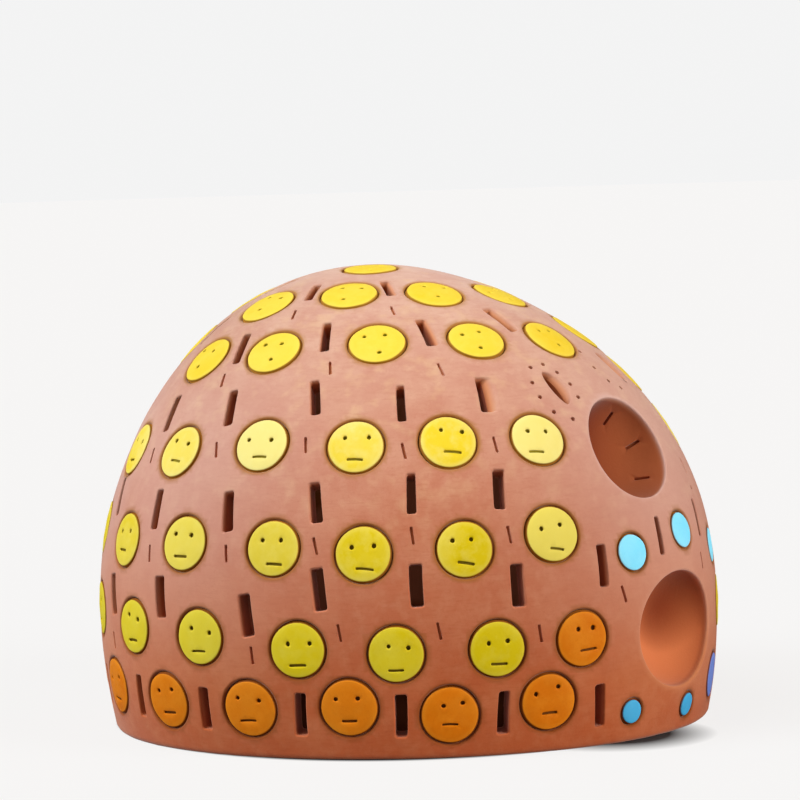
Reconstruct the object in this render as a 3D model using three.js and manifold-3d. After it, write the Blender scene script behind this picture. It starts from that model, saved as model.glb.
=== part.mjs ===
// A ceramic head in the form of a low hollow dome with an open foot, in millimetres, +Z up.
// The face looks along -Y. A place on the dome is a turn, in degrees from the middle of the face round
// towards the head's own right side (-X), and a height above the surface the head stands on.
// The origin is under the middle of the whole head, at the level of the foot.

import * as THREE from "three";
import { mergeVertices } from "three/addons/utils/BufferGeometryUtils.js";
import Module from "manifold-3d";

const wasm = await Module();
wasm.setup();

// Driving dimensions of the dome
const wall = 9;
const outside = { radius: 125, crown: 183.5 };
const inside = { radius: outside.radius - wall, crown: outside.crown - wall };
const shoulderHeight = 47; // the widest level
const footShare = 0.96; // the foot's radius as a share of the widest
const footBevel = 2.5;
const sideFullness = 1.93; // exponents of the profile above the shoulder, 2 is an ellipse
const crownFullness = 2.05;
const eggShare = 0.115; // how much the plan narrows towards the face
const crownSetBack = 19; // the crown lies this far behind the middle of the foot
const setBackPower = 4.6;

// Discs and the recesses they sit in
const discRadius = 10.3;
const recessGap = 0.9; // open all round the disc
const recessDepth = 3.4;
const faceSink = 0.9; // the disc's face lies this far below the dome's surface
const seatGap = 0.3; // between a disc's back and its recess
const discSides = 8;

// The turns between which the discs are set; the rest of the wall has its slots alone
const discSpan = { from: -50, to: 165 };

// Rows of discs from the foot up. The first ones stand at their own turns and heights, and the row then
// goes on round the back in even steps to its last turn. One disc may differ in colour from its row.
const discRows = [
  {
    name: "foot_row",
    colour: "orange",
    turns: [30.5, 49, 67.5, 86.5, 105, 123.5],
    heights: [19.8, 17, 20.5, 19.3, 19.8, 21],
    step: 18.4,
    lastTurn: 326,
  },
  {
    name: "lower_row",
    colour: "olive",
    turns: [-27, 23.9, 40.1, 58.5, 76.5, 96, 113.6, 132],
    heights: [45, 42.9, 41.4, 40.8, 42.6, 46.1, 47.2, 50],
    oddOne: { turn: 23.9, colour: "orange" },
    step: 18.5,
    lastTurn: 318,
  },
  {
    name: "middle_row",
    colour: "lime",
    turns: [28.1, 45.2, 64.1, 81.3, 100.4, 118.5],
    heights: [83.2, 79.3, 78.6, 80.7, 81.4, 80.2],
    step: 18.2,
    lastTurn: 320,
  },
  {
    name: "upper_row",
    colour: "lemon",
    turns: [25.9, 45.6, 65.5, 86.5, 107.5, 127.5],
    heights: [118.2, 118.9, 118, 118.8, 115.3, 114],
    step: 20,
    lastTurn: 330,
  },
  {
    name: "brow_row",
    colour: "yellow",
    turns: [-26.5, 0.8, 27.8, 59, 91.2, 115.7],
    heights: [153.5, 153.3, 155, 155.1, 152.4, 148.9],
    step: 27,
    lastTurn: 310,
  },
  {
    name: "crown_row",
    colour: "yellow",
    turns: [-13.6, 26.4, 70, 109.7],
    heights: [170.5, 172.4, 172.8, 169],
    step: 40,
    lastTurn: 310,
  },
];

// Discs that stand by themselves
const singleDiscs = [
  { name: "top_disc", colour: "yellow", radius: 10.3, turn: 57, height: 182.5 },
  { name: "temple_disc", colour: "yellow", radius: 10.3, turn: -31.5, height: 139 },
  { name: "pale_blue_disc_1", colour: "paleBlue", radius: 6.6, turn: 11.4, height: 73.5 },
  { name: "pale_blue_disc_2", colour: "paleBlue", radius: 6.6, turn: -4.5, height: 78.7 },
  { name: "pale_blue_disc_3", colour: "paleBlue", radius: 6.6, turn: -22, height: 68.6 },
  { name: "small_blue_disc_1", colour: "blue", radius: 4.2, turn: 12.5, height: 12 },
  { name: "small_blue_disc_2", colour: "blue", radius: 4.2, turn: -4.5, height: 9.8 },
  { name: "violet_disc", colour: "violet", radius: 8.5, turn: -19, height: 17 },
];

// Rows of upright slots: turn, height and how far the top leans towards a greater turn, in degrees
const slotRows = [
  {
    size: { width: 4.2, length: 16 },
    seen: [[20, 16.5, 3], [39, 16.7, -2], [58, 17, 0], [76.7, 17.6, 1], [96, 18.2, 1], [113.3, 19.7, -3]],
    step: 18.5,
    lastTurn: 318,
  },
  {
    size: { width: 5.2, length: 16.8 },
    seen: [
      [18.7, 69.8, -1], [35.8, 65, 0], [54.4, 66.5, 2], [72.4, 65.5, 8],
      [86.2, 55.3, 9], [105.3, 60.2, 10], [122.2, 58, 14],
    ],
    step: 18.4,
    lastTurn: 330,
  },
  {
    size: { width: 5, length: 17 },
    seen: [
      [37, 100.8, -2], [54.5, 100.5, 2], [73.4, 97.7, 6], [91.4, 94.1, 9],
      [109.4, 92.4, 7], [127.4, 95.5, 12],
    ],
    step: 18.3,
    lastTurn: 325,
  },
  {
    size: { width: 4, length: 17.5 },
    seen: [[34.6, 134.8, -6], [54.7, 133.1, 0], [75.7, 135.5, 8], [97.2, 131.6, 11], [117, 129, 12]],
    step: 20,
    lastTurn: 325,
  },
  {
    size: { width: 4, length: 18.5 },
    seen: [[12.4, 162, 3], [42.5, 157.8, 1], [75.6, 157.2, 6], [103.6, 153.5, 14]],
    step: 27,
    lastTurn: 325,
  },
  {
    size: { width: 3.6, length: 15 },
    seen: [[48.8, 175.3, 3], [91, 174.3, 8]],
    step: 40,
    lastTurn: 340,
  },
  {
    size: { width: 3.2, length: 15 },
    seen: [[3.3, 78.2, -3], [-14, 81.5, -6]],
  },
];

// The face: two leaf-shaped eye slits and two bowls pressed into the wall
const eyeSlit = { length: 16.5, width: 5.4, lean: 2, places: [[15.2, 136.5], [-17, 141]] };
const bowls = [
  { place: [0, -122.7, 41.6], lookUp: 0, halfWidth: 24.5, halfHeight: 22.8, depth: 17 },
  { place: [-5.3, -105.8, 111.4], lookUp: 30, halfWidth: 21, halfHeight: 22.4, depth: 19 },
];
const bowlWall = 7; // clay behind a bowl, where it stands in from the dome's wall
const bowlSides = 12;
const slotDepth = 14;
const cutterReach = 12; // how far a slot's cutter starts outside the dome
const recessReach = 3;

// How far the unseen rows stray from level, and how fast, in radians for each degree of turn
const backWobble = 1.5;
const wobbleRate = 0.11;

const shellRoughness = 0.85;
const discRoughness = 0.5;

// Facets of the dome: how many round it, the levels of its foot, and the rings from shoulder to crown
const outerFacets = { sides: 28, footLevels: [0, footBevel, 24], rings: 6 };
const innerFacets = { sides: 16, footLevels: [-1, 24], rings: 4 };

const colours = {
  terracotta: "#c07a5c",
  orange: "#d27a14",
  olive: "#cdb91f",
  lime: "#dbc62e",
  lemon: "#f2e263",
  yellow: "#f5e04b",
  paleBlue: "#90e2f6",
  blue: "#3f9fd0",
  violet: "#5b6fc4",
};

function sectionShare(height, crown) {
  if (height < shoulderHeight) {
    return 1 - (1 - footShare) * ((shoulderHeight - height) / shoulderHeight) ** 2;
  }
  const rise = Math.min((height - shoulderHeight) / (crown - shoulderHeight), 1);
  return (1 - rise ** crownFullness) ** (1 / sideFullness);
}

// The egg of the plan and the set-back crown, given to a point of a round dome
function settle(point) {
  const around = Math.hypot(point.x, point.y);
  const towardsFace = around > 0 ? -point.y / around : 0;
  const narrowing = 1 - eggShare * towardsFace * (1 - towardsFace ** 2);
  const back = crownSetBack * (Math.max(point.z, 0) / outside.crown) ** setBackPower;
  return point.set(point.x * narrowing, point.y * narrowing + back, point.z);
}

function surfacePoint(turn, height) {
  const angle = THREE.MathUtils.degToRad(turn);
  const radius = outside.radius * sectionShare(height, outside.crown);
  return settle(new THREE.Vector3(-Math.sin(angle) * radius, -Math.cos(angle) * radius, height));
}

// A frame on the dome: X to the onlooker's right, Y up the wall, Z straight out of it
function frameAt(turn, height, lean = 0) {
  const turnStep = 0.2;
  const heightStep = 0.05;
  const point = surfacePoint(turn, height);
  const across = surfacePoint(turn - turnStep, height).sub(surfacePoint(turn + turnStep, height));
  const up = surfacePoint(turn, height + heightStep).sub(surfacePoint(turn, height - heightStep));
  const out = new THREE.Vector3().crossVectors(across, up).normalize();
  up.addScaledVector(out, -up.dot(out)).normalize();
  const right = new THREE.Vector3().crossVectors(up, out);
  const frame = new THREE.Matrix4().makeBasis(right, up, out).setPosition(point);
  return frame.multiply(new THREE.Matrix4().makeRotationZ(THREE.MathUtils.degToRad(lean)));
}

function solidOf(geometry) {
  const bare = geometry.clone();
  bare.deleteAttribute("normal");
  bare.deleteAttribute("uv");
  const merged = mergeVertices(bare, 1e-4);
  return new wasm.Manifold(
    new wasm.Mesh({
      numProp: 3,
      vertProperties: new Float32Array(merged.attributes.position.array),
      triVerts: new Uint32Array(merged.index.array),
    }),
  );
}

function geometryOf(solid) {
  const mesh = solid.getMesh();
  const geometry = new THREE.BufferGeometry();
  geometry.setAttribute("position", new THREE.BufferAttribute(mesh.vertProperties, 3));
  geometry.setIndex(new THREE.BufferAttribute(mesh.triVerts, 1));
  geometry.computeVertexNormals();
  return geometry;
}

// Ring heights from the shoulder to just short of the crown, closer together where the profile turns
function risingLevels(crown, steps) {
  return Array.from({ length: steps }, (_, i) => {
    const angle = (i / (steps - 0.3)) * (Math.PI / 2);
    return shoulderHeight + (crown - shoulderHeight) * Math.sin(angle) ** (2 / crownFullness);
  });
}

// A closed dome from the foot to the crown: a lathe turned from the profile, then settled
function domeSolid(form, facets, footInset) {
  const heights = [...facets.footLevels, ...risingLevels(form.crown, facets.rings)];
  const profile = [new THREE.Vector2(0, heights[0])];
  heights.forEach((height, level) => {
    const inset = level === 0 ? footInset : 0;
    profile.push(new THREE.Vector2(form.radius * sectionShare(height, form.crown) - inset, height));
  });
  profile.push(new THREE.Vector2(0, form.crown));
  const geometry = new THREE.LatheGeometry(profile, facets.sides);
  geometry.rotateX(Math.PI / 2);
  const positions = geometry.attributes.position;
  const point = new THREE.Vector3();
  for (let i = 0; i < positions.count; i += 1) {
    settle(point.fromBufferAttribute(positions, i));
    positions.setXYZ(i, point.x, point.y, point.z);
  }
  return solidOf(geometry);
}

// A round plug square to the dome, from one depth to another measured outwards from its surface
function plugGeometry(radius, from, to) {
  const geometry = new THREE.CylinderGeometry(radius, radius, to - from, discSides);
  geometry.rotateX(Math.PI / 2);
  geometry.translate(0, 0, (from + to) / 2);
  return geometry;
}

function slotGeometry({ width, length }) {
  const geometry = new THREE.BoxGeometry(width, length, slotDepth + cutterReach);
  geometry.translate(0, 0, (cutterReach - slotDepth) / 2);
  return geometry;
}

function leafGeometry({ length, width }) {
  const shape = new THREE.Shape();
  shape.moveTo(0, -length / 2);
  shape.quadraticCurveTo(width, 0, 0, length / 2);
  shape.quadraticCurveTo(-width, 0, 0, -length / 2);
  const options = { depth: slotDepth + cutterReach, bevelEnabled: false, curveSegments: 4 };
  return new THREE.ExtrudeGeometry(shape, options).translate(0, 0, -slotDepth);
}

function bowlGeometry({ place, lookUp, halfWidth, halfHeight, depth }, extra) {
  const geometry = new THREE.SphereGeometry(1, bowlSides, bowlSides / 2);
  geometry.scale(halfWidth + extra, halfHeight + extra, depth + extra);
  geometry.rotateX(Math.PI / 2 - THREE.MathUtils.degToRad(lookUp));
  return geometry.translate(...place);
}

// The places of a row: the seen ones, then even steps round the back with a hand-set wobble
function rowPlaces(seen, step, lastTurn) {
  const places = [...seen];
  if (!step) {
    return places;
  }
  const mean = (index) => seen.reduce((sum, place) => sum + place[index], 0) / seen.length;
  const start = Math.max(...seen.map(([turn]) => turn));
  for (let turn = start + step; turn <= lastTurn; turn += step) {
    places.push([turn, mean(1) + backWobble * Math.sin(turn * wobbleRate), 0]);
  }
  return places;
}

function listDiscs() {
  const discs = discRows.flatMap((row) => {
    const seen = row.turns.map((turn, i) => [turn, row.heights[i]]);
    return rowPlaces(seen, row.step, row.lastTurn).map(([turn, height], i) => ({
      name: `${row.name}_disc_${String(i + 1).padStart(2, "0")}`,
      colour: row.oddOne?.turn === turn ? row.oddOne.colour : row.colour,
      radius: discRadius,
      turn,
      height,
    }));
  });
  return [...discs, ...singleDiscs].filter(({ turn }) => turn >= discSpan.from && turn <= discSpan.to);
}

function cuttersOf(discs) {
  const cutters = [];
  const cut = (geometry, turn, height, lean) => {
    cutters.push(solidOf(geometry.applyMatrix4(frameAt(turn, height, lean))));
  };
  discs.forEach((disc) => {
    const recess = plugGeometry(disc.radius + recessGap, -recessDepth, recessReach);
    cut(recess, disc.turn, disc.height, 0);
  });
  slotRows.forEach((row) => {
    rowPlaces(row.seen, row.step, row.lastTurn).forEach(([turn, height, lean]) => {
      cut(slotGeometry(row.size), turn, height, lean);
    });
  });
  eyeSlit.places.forEach(([turn, height]) => cut(leafGeometry(eyeSlit), turn, height, eyeSlit.lean));
  return cutters;
}

function shellSolid(discs) {
  const outer = domeSolid(outside, outerFacets, footBevel);
  const inner = domeSolid(inside, innerFacets, 0);
  let shell = outer.subtract(inner);
  bowls.forEach((bowl) => {
    shell = shell.add(solidOf(bowlGeometry(bowl, bowlWall)).intersect(outer));
  });
  const cutters = [...bowls.map((bowl) => solidOf(bowlGeometry(bowl, 0))), ...cuttersOf(discs)];
  return shell.subtract(wasm.Manifold.union(cutters));
}

function material(colour, roughness) {
  return new THREE.MeshStandardMaterial({ color: colours[colour], roughness, metalness: 0 });
}

const clay = new THREE.Group();
const discs = listDiscs();

const shell = new THREE.Mesh(geometryOf(shellSolid(discs)), material("terracotta", shellRoughness));
shell.name = "head_shell";
clay.add(shell);

discs.forEach((disc) => {
  const geometry = plugGeometry(disc.radius, seatGap - recessDepth, -faceSink);
  const tablet = new THREE.Mesh(geometry, material(disc.colour, discRoughness));
  tablet.name = disc.name;
  tablet.applyMatrix4(frameAt(disc.turn, disc.height));
  clay.add(tablet);
});

// The lower bowl bites into the front, so the middle of the finished head lies a little behind the
// middle of the dome. The origin goes under it.
const middle = new THREE.Box3().setFromObject(shell).getCenter(new THREE.Vector3());
clay.position.set(-middle.x, -middle.y, 0);

const head = new THREE.Group();
head.add(clay);

export default head;
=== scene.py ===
# A hollow ceramic head: a low terracotta dome with inlaid face discs, pierced slots, two leaf-shaped eye
# slits and two bowls pressed into its front. Metres, +Z up, the face looks along -Y.
import math
import random

import bpy
import numpy as np
from mathutils import Matrix, Vector, noise


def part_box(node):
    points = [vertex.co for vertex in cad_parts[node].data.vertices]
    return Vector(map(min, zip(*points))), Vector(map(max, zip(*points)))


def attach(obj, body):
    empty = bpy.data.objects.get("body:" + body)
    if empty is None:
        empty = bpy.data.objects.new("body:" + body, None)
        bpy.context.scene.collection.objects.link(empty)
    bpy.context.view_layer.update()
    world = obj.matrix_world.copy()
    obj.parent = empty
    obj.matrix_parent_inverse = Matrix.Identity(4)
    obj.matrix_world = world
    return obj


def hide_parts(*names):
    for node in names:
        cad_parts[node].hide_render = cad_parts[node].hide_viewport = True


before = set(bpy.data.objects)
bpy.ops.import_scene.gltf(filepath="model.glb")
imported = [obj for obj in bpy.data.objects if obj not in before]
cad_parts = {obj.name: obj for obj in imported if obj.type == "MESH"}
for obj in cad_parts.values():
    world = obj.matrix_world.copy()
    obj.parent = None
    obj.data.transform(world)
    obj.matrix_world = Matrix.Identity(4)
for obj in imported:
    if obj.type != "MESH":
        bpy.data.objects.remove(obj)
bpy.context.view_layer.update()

MM = 0.001

# Single lengths are in metres, while the tables of places and sizes hold millimetres and degrees. A place on
# the dome is its turn from the middle of the face, towards the left of the photograph, and its height.

# The dome, measured on the solids, and the shares that give it its form
shell_low, shell_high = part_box("head_shell")
outer_radius = (shell_high.x - shell_low.x) / 2
crown = shell_high.z
axis_y = shell_high.y - outer_radius
wall = 9 * MM
shoulder = 47 * MM
foot_share = 0.96
foot_bevel = 2.5 * MM
side_fullness = 1.93
crown_fullness = 2.05
egg_share = 0.115
crown_set_back = 19 * MM
set_back_power = 4.6

# How finely the dome and its hollow are divided, how far they reach below the foot before they are trimmed,
# and the angles from which an edge stays sharp
dome_grid = 91
hollow_grid = 37
ball_below_foot = 10 * MM
hollow_below_foot = 5 * MM
shell_crease = 32
disc_crease = 40

# The hand leaves shallow swells in the wall: their size across and their height
swells = [(38 * MM, 0.38 * MM), (13 * MM, 0.11 * MM)]
inner_swells = [(26 * MM, 1.0 * MM), (9 * MM, 0.35 * MM)]

# Discs and the recesses they sit in
disc_grow = 0.5 * MM
recess_gap = 0.65 * MM
recess_lip = 1.15 * MM
recess_depth = 3.4 * MM
face_rise = 0.2 * MM
disc_edge = 0.7 * MM
joint_gap = 0.15 * MM
joint_depth = 1.1 * MM
tablet_chamfer = 0.3 * MM
seat_gap = 0.3 * MM
ring_reach = 2.2 * MM
ring_fade = 1.2 * MM
# Discs of a smaller radius than this, in millimetres, have no face pricked in them
plain_below = 10
# A disc's face swells towards its middle: the share of the way out, and the rise there
face_swell = [(0.75, 0.10 * MM), (0.5, 0.16 * MM), (0.25, 0.2 * MM)]
# How far a recess may be off its place to the left, right, down and up, in millimetres
recess_off = (-0.2, 0.2, -0.1, 0.2)

# The hand leaves a disc out of round, lumpy and tilted in its recess
out_of_round = 0.016
lump_size = 5 * MM
lump_height = 0.12 * MM
disc_tilt = 0.25 * MM

# The marks pricked and scored in a disc's face
dot_sides = 14
eye_radius = 0.85 * MM
eye_depth = 1.3 * MM
eye_lip = 0.5 * MM
mouth_size = (0.95 * MM, 6.5 * MM)
mouth_corner = 0.4 * MM
mouth_depth = 0.9 * MM
mouth_lip = 0.35 * MM
mark_start = face_rise + 0.14 * MM

disc_rows = [
    {"name": "foot_row", "clay": "orange_clay", "radius": 10.4, "step": 18.4, "last": 326,
     "seen": [(30.5, 19.8), (49, 17), (67.5, 20.5), (86.5, 19.3), (105, 19.8), (123.5, 21)]},
    {"name": "lower_row", "clay": "olive_clay", "radius": 10.1, "step": 18.5, "last": 318,
     "odd": (2, "orange_clay"),
     "seen": [(-27, 45), (23.9, 42.9), (40.1, 41.4), (58.5, 40.8), (76.5, 42.6), (96, 46.1),
              (113.6, 47.2), (132, 50)]},
    {"name": "middle_row", "clay": "lime_clay", "radius": 10.1, "step": 18.2, "last": 320,
     "seen": [(28.1, 83.2), (45.2, 79.3), (64.1, 78.6), (81.3, 80.7), (100.4, 81.4), (118.5, 80.2)]},
    {"name": "upper_row", "clay": "lemon_clay", "radius": 10.3, "step": 20, "last": 330,
     "seen": [(25.9, 118.2), (45.6, 118.9), (65.5, 118), (86.5, 118.8), (107.5, 115.3), (127.5, 114)]},
    {"name": "brow_row", "clay": "yellow_clay", "radius": 10.7, "step": 27, "last": 310,
     "seen": [(-27.7, 154.6), (0.8, 153.7), (27.8, 155.4), (59, 155.5), (91.2, 152.8), (115.7, 149.3)]},
    {"name": "crown_row", "clay": "yellow_clay", "radius": 10.8, "step": 40, "last": 310,
     "seen": [(-13.6, 170.7), (26.4, 172.8), (70, 173.2), (109.7, 169.4)]},
]
# Discs outside the rows: name, clay, radius, turn and height
single_discs = [
    ("top_disc", "yellow_clay", 10.3, 57, 182.5),
    ("temple_disc", "yellow_clay", 9.9, -32.2, 137.2),
    ("pale_blue_disc_1", "pale_blue_clay", 6.6, 11.4, 73.5),
    ("pale_blue_disc_2", "pale_blue_clay", 6.6, -4.5, 78.7),
    ("pale_blue_disc_3", "pale_blue_clay", 6.6, -22, 68.6),
    ("small_blue_disc_1", "blue_clay", 4.2, 12.5, 12),
    ("small_blue_disc_2", "blue_clay", 4.2, -4.5, 9.8),
    ("violet_disc", "violet_clay", 8.5, -19, 17),
]

# Rows of upright slots: (turn, height, lean of the top towards a greater turn)
slot_rows = [
    {"size": (4.7, 16.6), "step": 18.5, "last": 318,
     "seen": [(20, 16.2, 3), (39, 16.7, -1), (58, 17, -1), (76.7, 17.6, -1), (96, 18.2, 1),
              (113.3, 19.7, -3)]},
    {"size": (5.1, 16.2), "step": 18.4, "last": 330, "back_drop": 4.5,
     "seen": [(18.7, 69.8, -1), (35.8, 65, -1), (54.4, 66.5, 2), (72.4, 65.5, 7), (86.2, 55.3, 8),
              (105.3, 60.2, 9), (122.2, 58, 14)]},
    {"size": (4.6, 15.8), "step": 18.3, "last": 325,
     "seen": [(37, 100.8, -6), (54.5, 100.5, -1), (73.4, 97.7, 5), (91.4, 94.1, 9), (109.4, 93.2, 5),
              (127.4, 95.5, 12)]},
    {"size": (3.9, 16.6), "step": 20, "last": 325,
     "seen": [(34.6, 135.4, -8), (54.7, 133.4, -2), (75.7, 136.2, 7), (97.2, 132.2, 11), (117, 129, 12)]},
    {"size": (3.6, 17.5), "step": 27, "last": 325,
     "seen": [(12.4, 162, 3), (42.5, 159, -2), (75.6, 158.2, 5), (103.6, 153.9, 14)]},
    {"size": (3.4, 15), "step": 40, "last": 340,
     "seen": [(48.8, 175.3, 0), (91, 174.3, 8)]},
    {"size": (3.2, 15), "step": 0, "last": 0, "seen": [(3.3, 78.2, -3), (-14, 81.5, -6)]},
]
# Cuts whose right side slopes away wide, by the turn and height of the cut; the eye slits do too.
# Each has the width of its slope and how much narrower the cut itself is.
flares = {
    (34.6, 135.4): (4.2, 0.9), (12.4, 162): (2.0, 0.2), (42.5, 159): (1.6, 0.2), (48.8, 175.3): (1.2, 0.3),
}
flare_of_slits = (3.2, 0.7)
flare_depth = 2.5 * MM

# On the hidden back a row wanders up and down a little as it goes round
back_wobble = 1.5
wobble_rate = 0.11

# Slots cut narrower than the rest of their row, by their turn and height
narrow_slots = {
    (20, 16.2): 0.86, (39, 16.7): 0.93, (96, 18.2): 0.92, (113.3, 19.7): 0.8, (18.7, 69.8): 0.76,
    (54.5, 100.5): 0.78, (109.4, 93.2): 0.84, (54.7, 133.4): 0.86, (3.3, 78.2): 0.8,
}

# Thin cut lines between the discs: (turn, height, lean)
cut_lines = [
    (97.2, 116.6, 16), (76.4, 118.7, 7), (55.3, 116.1, 8), (35.7, 117.1, 0), (72.7, 146.8, 7),
    (42.8, 145.1, 4), (109.3, 76.4, 9), (90.7, 78.4, 9), (73.1, 81.7, 13), (54.8, 85, 6),
    (36.5, 83.9, 5), (85.2, 40.1, 6), (68.7, 49.1, 9), (50.6, 49.1, 10), (32.1, 46.3, 7),
    (14.7, 58.2, 14), (-11.5, 65, 0), (-17.7, 101.3, 0), (91, 166, 9), (103.3, 142, 12), (50.8, 167.1, 3),
    (117.1, 112.8, 14), (122.3, 39.6, 10),
]
cut_line_size = (1.1 * MM, 6.8 * MM)
cut_line_depth = 1.4 * MM

# The face: eye slits with pricks round them, and the two bowls. A bowl's clay is painted with shade and
# light:
# how dark its middle is painted and how that changes up and to the right, each as a straight and a bent
# share.
# Its marks are short cuts: the angle round the bowl and the tilt up its side.
eye_slit = {"length": 17.3, "width": 5.8, "lean": 6, "places": [(14.5, 136.3), (-17, 141)]}
eye_pricks = [
    (17.9, 144.1), (13.3, 144.9), (10.8, 141.7), (9.5, 137.1), (9.9, 132.2), (20.4, 138.6), (20.7, 133.2),
    (19.2, 127.5), (15.2, 124.5), (-6.6, 148.1), (-5.4, 142), (-6.5, 136.7), (-9.7, 133.5), (-16.7, 135.5),
    (-16.7, 92.7),
]
prick_radius = 0.95 * MM
prick_depth = 3 * MM
bowls = [
    {"place": (2, -123.1, 41), "look_up": 6.6, "roll": -4.6, "half": (26.1, 22.7), "depth": 17,
     "dark": 0.45, "painted_shade_up": (1.0, -1.2), "painted_shade_right": (1.35, -1.75), "marks": []},
    {"place": (-4, -105.7, 112.1), "look_up": 27.4, "roll": 44.3, "half": (23.3, 20.6), "depth": 19,
     "dark": 0.92, "painted_shade_up": (0.21, -0.19), "painted_shade_right": (-0.38, -0.25),
     "marks": [(11, 58), (-37, 60), (-82, 61)]},
]
bowl_mark_size = (1.2 * MM, 6.2 * MM)
bowl_mark_depth = 1.6 * MM
bowl_wall = 7 * MM
bowl_lip = 1.1 * MM
# In millimetres: how far off a bowl's floor its clay reaches and how fast that fades; then, below the
# outside, where the painted highlight on its rim is palest and how fast that fades, and where the painted
# shade and light of its floor start and how soon they are full; last how deep marks are counted
floor_band = 0.4
floor_fade = 1.2
rim_depth = 0.5
rim_fade = 0.8
tone_start = 0.8
tone_fade = 3.0
deepest_mark = 12

# All cuts: how deep the open ones go, their corners and lips, and how far a cutter stands out of the clay
slot_depth = 14 * MM
slot_corner = 1.0 * MM
slot_lip = 0.7 * MM
slit_lip = 0.5 * MM
fine_corner = 0.4 * MM
fine_lip = 0.25 * MM
cutter_rise = 1.2 * MM
leaf_point = 1.15
# The uneven hand: the share by which a cut tapers, and its bow and skew
slot_hand = (0.09, 0.42 * MM)
line_hand = (0.25, 0.15 * MM)


def by_disc(rows):
    """Gives the discs of each row, from a first one on, their own value."""
    return {f"{row}_disc_{number:02d}": value
            for row, first, values in rows for number, value in enumerate(values, first)}


# The faces seen in the photograph, in shares of a disc's radius: left eye, right eye, mouth or third dot,
# and how far the mouth droops to the right in degrees
faces = by_disc([
    ("foot_row", 1, (
        ((-0.49, 0.30), (0.34, 0.52), (0.03, -0.39), -2),
        ((-0.22, 0.33), (0.45, 0.41), (0.00, -0.33), 1),
        ((-0.46, 0.31), (0.32, 0.33), (-0.01, -0.48), -1),
        ((-0.43, 0.39), (0.40, 0.31), (-0.10, -0.42), -2),
        ((-0.38, 0.34), (0.33, 0.43), (0.03, -0.44), -3))),
    ("lower_row", 2, (
        ((-0.18, 0.36), (0.42, 0.37), (0.23, -0.40), -4),
        ((-0.32, 0.22), (0.37, 0.28), (0.05, -0.54), 1),
        ((-0.26, 0.29), (0.44, 0.23), (-0.02, -0.58), 0),
        ((-0.35, 0.22), (0.46, 0.24), (-0.01, -0.55), -1),
        ((-0.33, 0.31), (0.49, 0.18), (-0.03, -0.51), -2),
        ((-0.25, 0.42), (0.38, 0.29), (-0.02, -0.51), -1))),
    ("middle_row", 1, (
        ((-0.41, 0.22), (0.33, 0.30), (0.09, -0.55), 12),
        ((-0.41, 0.34), (0.26, 0.34), (0.02, -0.49), 12),
        ((-0.40, 0.25), (0.40, 0.28), (0.06, -0.53), 6),
        ((-0.41, 0.29), (0.31, 0.30), (0.08, -0.56), 2),
        ((-0.45, 0.32), (0.32, 0.31), (-0.07, -0.49), -1),
        ((-0.43, 0.28), (0.31, 0.33), (-0.11, -0.40), 1))),
    ("upper_row", 1, (
        ((-0.29, 0.36), (0.40, 0.25), (-0.24, -0.48), 10),
        ((-0.19, 0.47), (0.54, 0.32), (0.08, -0.42), 11),
        ((-0.38, 0.35), (0.47, 0.32), (-0.03, -0.50), 5),
        ((-0.53, 0.20), (0.37, 0.18), (0.02, -0.47), 1),
        ((-0.39, 0.42), (0.38, 0.29), (0.00, -0.38), 6))),
    ("brow_row", 2, (
        ((-0.15, 0.48), (0.39, 0.43), (0.05, -0.37), 0),
        ((-0.37, 0.38), (0.30, 0.38), (-0.08, -0.47), 0),
        ((-0.41, 0.40), (0.31, 0.37), (0.04, -0.52), 0),
        ((-0.45, 0.37), (0.21, 0.37), (0.06, -0.41), 0),
        ((-0.60, 0.45), (0.08, 0.38), (-0.20, -0.36), 0))),
    ("crown_row", 2, (
        ((-0.08, 0.60), (0.60, 0.35), (-0.03, -0.30), 0),
        ((-0.29, 0.54), (0.41, 0.42), (-0.15, -0.40), 0),
        ((-0.40, 0.54), (0.28, 0.47), (-0.08, -0.32), 0))),
])

# The usual face of the hidden discs, how far its marks wander, and the droop of its mouth
usual_face = ((-0.38, 0.29), (0.38, 0.29), (0, -0.48))
face_wander = 0.06
usual_droop = (-4, 8)
# A mark's size as a share of the usual one, and how far a mouth bends down at its ends
mark_spread = (0.88, 1.12)
mouth_bend = (-0.1 * MM, 0.15 * MM)
mouth_half = 3 * MM

# How far some of the discs lean towards the pale tone of their glaze
pale_shares = by_disc([
    ("upper_row", 1, (0.75, 0.05, 0.05, 0.8, 0.3)),
    ("middle_row", 1, (0.7, 0.0, 0.0, 0.25, 0.45)),
    ("lower_row", 3, (0.0, 0.0, 0.05, 0.3, 0.3)),
])

# Each clay's usual, pale and deep tone, and the tone of the marks in its face, a darker copy of the clay
# painted as shade in the pits
clays = {
    "orange_clay": ((0.68, 0.165, 0.002), (0.80, 0.27, 0.015), (0.52, 0.095, 0.001), (0.16, 0.05, 0.006)),
    "olive_clay": ((0.68, 0.50, 0.004), (0.74, 0.60, 0.06), (0.58, 0.40, 0.002), (0.17, 0.11, 0.008)),
    "lime_clay": ((0.71, 0.51, 0.005), (0.82, 0.66, 0.12), (0.62, 0.44, 0.003), (0.22, 0.15, 0.01)),
    "lemon_clay": ((0.84, 0.60, 0.025), (0.88, 0.75, 0.26), (0.78, 0.54, 0.015), (0.32, 0.25, 0.02)),
    "yellow_clay": ((0.86, 0.585, 0.03), (0.90, 0.69, 0.10), (0.80, 0.53, 0.015), (0.40, 0.36, 0.02)),
    "pale_blue_clay": ((0.22, 0.75, 0.96), (0.38, 0.84, 0.98), (0.15, 0.62, 0.90), (0.05, 0.2, 0.3)),
    "blue_clay": ((0.05, 0.38, 0.68), (0.10, 0.48, 0.74), (0.035, 0.25, 0.55), (0.02, 0.1, 0.2)),
    "violet_clay": ((0.117, 0.187, 0.54), (0.21, 0.29, 0.66), (0.07, 0.10, 0.40), (0.02, 0.03, 0.1)),
}


# The dome as a formula

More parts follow.
